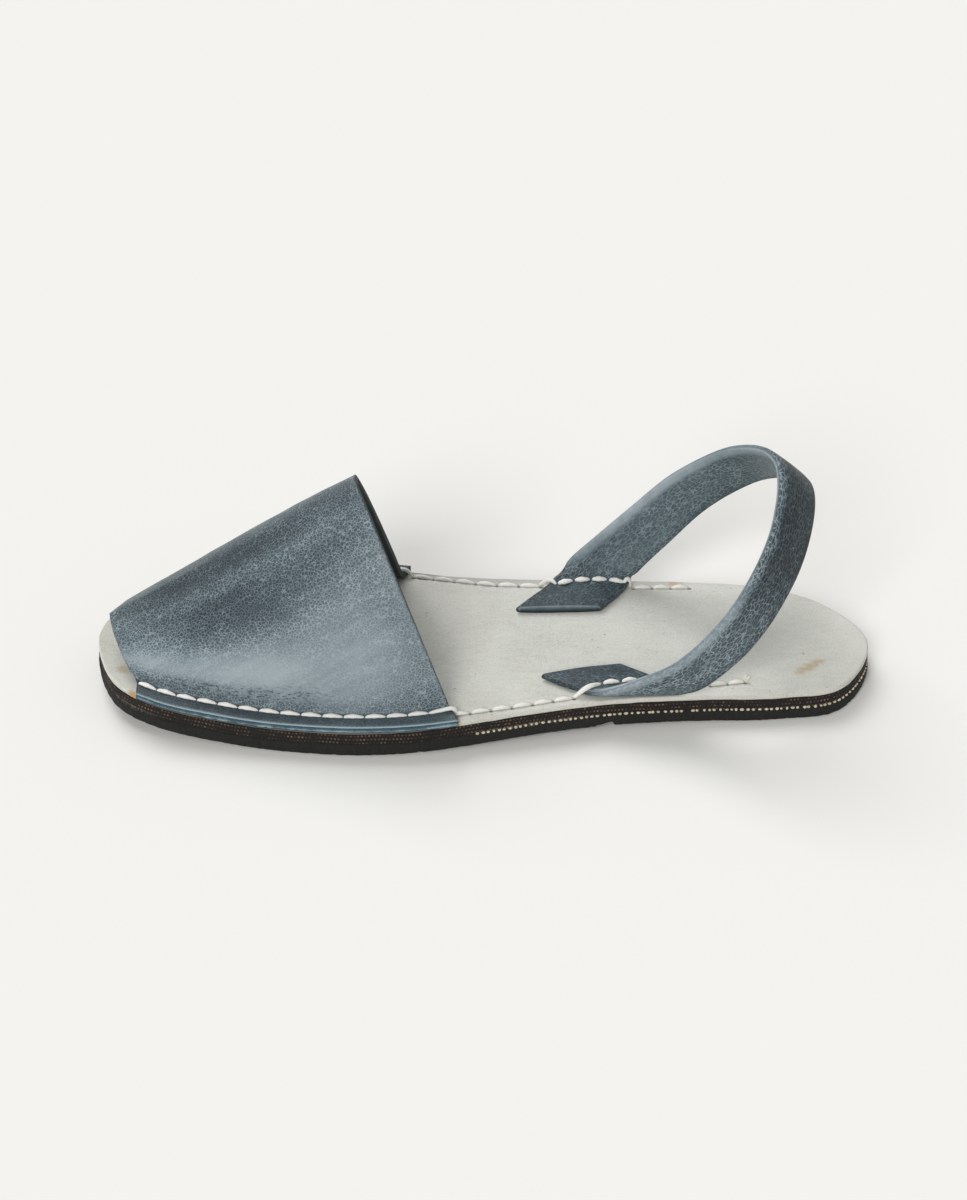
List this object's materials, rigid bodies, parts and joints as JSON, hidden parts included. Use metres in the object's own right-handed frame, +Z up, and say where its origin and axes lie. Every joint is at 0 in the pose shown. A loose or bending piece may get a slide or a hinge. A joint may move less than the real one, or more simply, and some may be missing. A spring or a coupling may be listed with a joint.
{
  "type": "avarca sandal",
  "caption": "Left avarca sandal: arched leather vamp open at toe and throat, heel strap round an open back, suede insole and a flat rubber outsole with a notched tread edge.",
  "frame": {"origin": "middle of the sandal's box, on the floor under the sole", "axes": "+X to the toe, +Y to the lateral side (the wearer's left), +Z up"},
  "size_m": [0.2522, 0.0918, 0.0817],
  "materials": {
    "tyre_rubber": "rough-cut black tyre rubber",
    "insole_suede": "pale grey suede nap",
    "upper_leather": "waxed blue-grey grain leather, half matt"
  },
  "bodies": {
    "root": {"outsole": "tyre_rubber", "insole": "insole_suede", "vamp": "upper_leather", "heel_strap": "upper_leather"}
  },
  "joints": []
}
